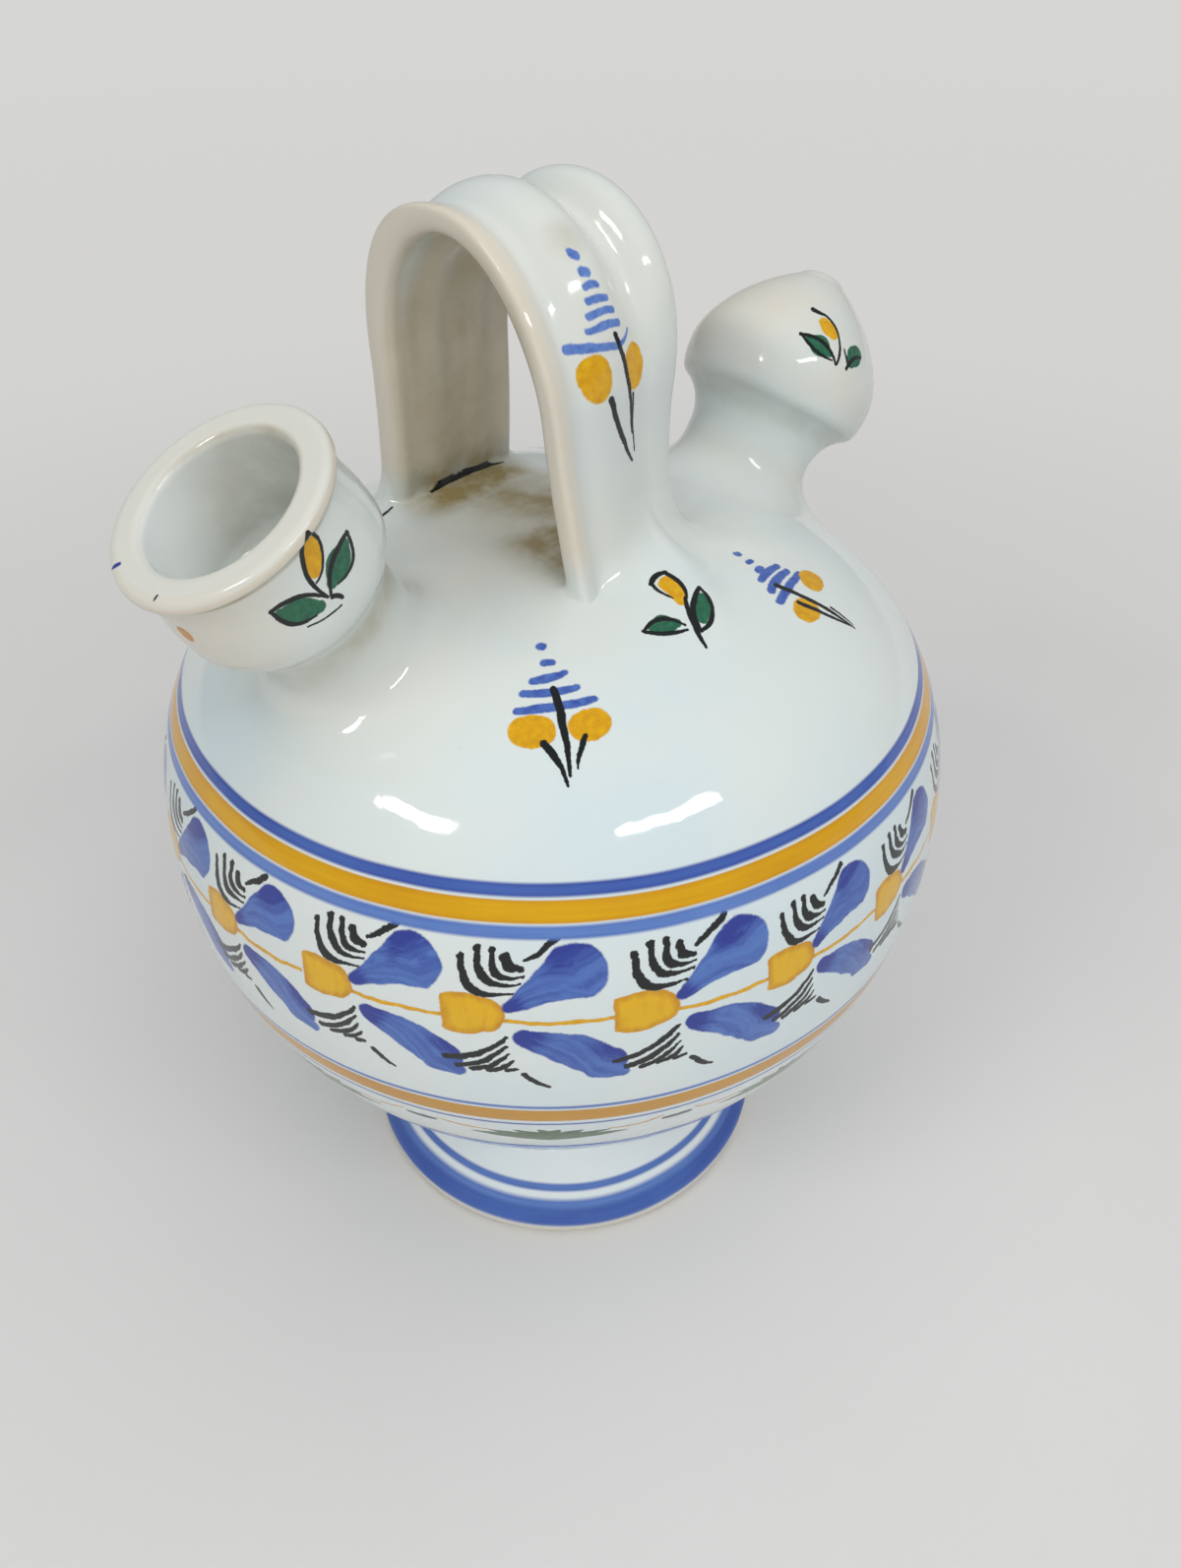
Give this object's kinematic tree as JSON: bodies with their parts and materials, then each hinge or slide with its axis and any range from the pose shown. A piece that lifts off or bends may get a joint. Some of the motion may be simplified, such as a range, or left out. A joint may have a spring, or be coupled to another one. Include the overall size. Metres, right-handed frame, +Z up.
{
  "type": "botijo water jug",
  "caption": "Round glazed earthenware jug on a flared foot, with a cup-shaped filling mouth, a bulbous drinking spout opposite it and a ribbed strap handle over the top.",
  "frame": {"origin": "centre of the foot's base, at the mouth of the recess under the foot", "axes": "+Z up along the axis the body was thrown on, +X from the filling mouth towards the drinking spout, the handle arches along Y"},
  "size_m": [0.2061, 0.198, 0.2757],
  "materials": {
    "tin_glaze": "glossy tin glaze with brush-painted blue, orange-yellow, green and black decoration"
  },
  "bodies": {
    "root": {"foot_ring": "tin_glaze", "belly_bowl": "tin_glaze", "shoulder_crown": "tin_glaze", "filling_mouth": "tin_glaze", "drinking_spout": "tin_glaze", "strap_handle": "tin_glaze"}
  },
  "joints": []
}
